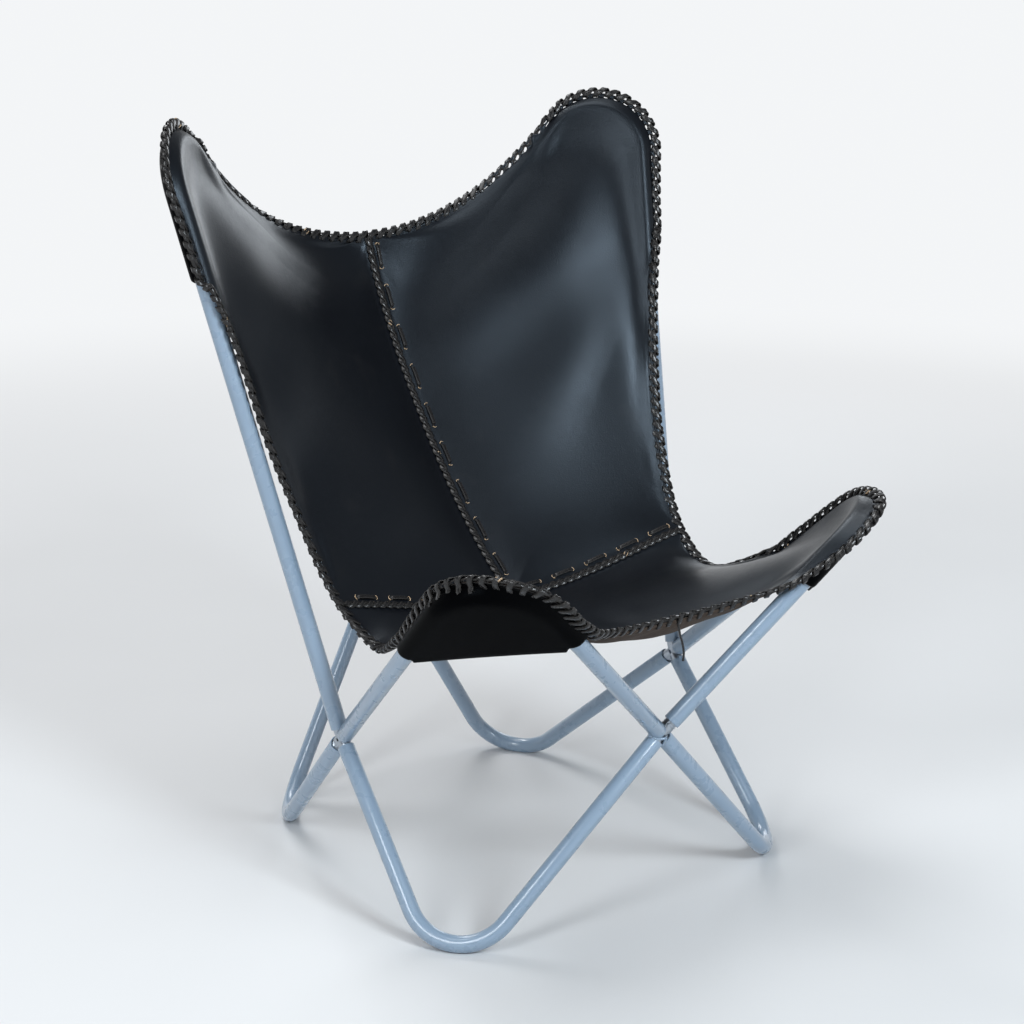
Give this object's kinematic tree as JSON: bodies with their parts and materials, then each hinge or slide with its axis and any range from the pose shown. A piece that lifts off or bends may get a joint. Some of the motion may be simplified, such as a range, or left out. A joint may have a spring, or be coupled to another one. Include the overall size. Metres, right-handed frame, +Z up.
{
  "type": "butterfly sling chair",
  "caption": "Low lounge chair: a laced leather sling hangs by its corner pockets on the horns of a plug-together frame of bent steel tubes.",
  "frame": {"origin": "on the floor, under the middle of the bounding box", "axes": "+Z up, the sitter faces -Y, +X on the viewer's right when looking at the front; the chair is symmetric about X = 0"},
  "size_m": [0.6882, 0.6554, 0.8466],
  "materials": {
    "frame_paint": "satin light blue-grey powder coat",
    "spigot_steel": "bare steel with some overspray",
    "sling_leather": "smooth black leather with a soft sheen",
    "lacing_leather": "black leather lace with raw tan cut edges"
  },
  "bodies": {
    "root": {"front_foot_tube_right": "frame_paint", "front_foot_tube_left": "frame_paint", "rear_foot_tube_right": "frame_paint", "rear_foot_tube_left": "frame_paint", "front_horn_tube_right": "frame_paint", "front_horn_tube_left": "frame_paint", "rear_horn_tube_right": "frame_paint", "rear_horn_tube_left": "frame_paint", "cross_connector_right": "spigot_steel", "cross_connector_left": "spigot_steel", "cross_connector_front": "spigot_steel", "cross_connector_back": "spigot_steel", "back_panel_right": "sling_leather", "back_panel_left": "sling_leather", "seat_panel": "sling_leather", "rear_pocket_right": "sling_leather", "rear_pocket_left": "sling_leather", "front_pocket_right": "sling_leather", "front_pocket_left": "sling_leather", "edge_lacing_back_right": "lacing_leather", "edge_lacing_back_left": "lacing_leather", "edge_lacing_seat_right": "lacing_leather", "edge_lacing_seat_left": "lacing_leather", "seam_lacing_back": "lacing_leather", "seam_lacing_seat": "lacing_leather", "lace_tail": "lacing_leather"}
  },
  "joints": []
}
